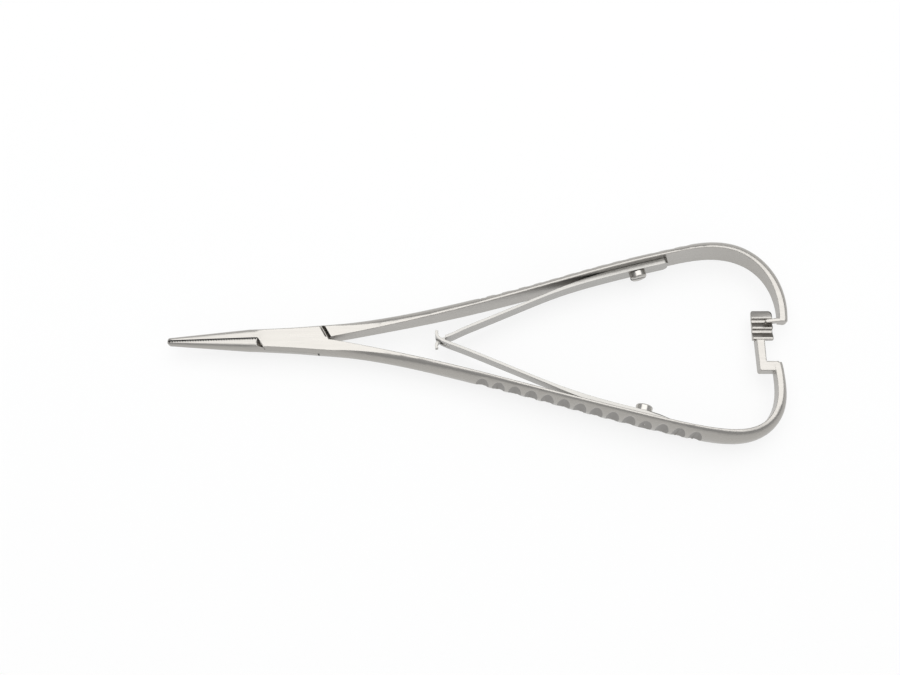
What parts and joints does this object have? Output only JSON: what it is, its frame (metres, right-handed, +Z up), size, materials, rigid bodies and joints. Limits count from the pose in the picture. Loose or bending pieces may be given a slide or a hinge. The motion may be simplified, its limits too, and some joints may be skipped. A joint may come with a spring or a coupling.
{
  "type": "surgical needle holder",
  "caption": "Spring-handled needle holder with a box lock, fine-toothed tapered jaws, grooved bowed handles, linked leaf springs and a palm-released ratchet catch.",
  "frame": {"origin": "on the lock's flat underside, on the axis of the lock pin, with the handles closed on the first tooth of the catch", "axes": "+X from the lock pin to the bows, +Y across to the handle that carries the finger of the catch, +Z up through the flat side"},
  "size_m": [0.1399, 0.0469, 0.0091],
  "materials": {
    "satin_steel": "satin, fine brushing on the flat sides",
    "spring_steel": "bright satin",
    "polished_screw_steel": "polished steel"
  },
  "bodies": {
    "box_side": {"box_half": "satin_steel", "lock_pin": "satin_steel", "lower_leaf_spring": "spring_steel", "lower_spring_screw": "polished_screw_steel"},
    "tongue_side": {"tongue_half": "satin_steel", "upper_leaf_spring": "spring_steel", "upper_spring_screw": "polished_screw_steel"}
  },
  "joints": [
    {"name": "lock_pivot", "type": "hinge", "parent": "box_side", "child": "tongue_side", "pos_m": [0, 0, 0.00235], "axis": [0, 0, 1], "range_deg": [0, 14], "deforming": ["lower_leaf_spring", "upper_leaf_spring"]}
  ]
}
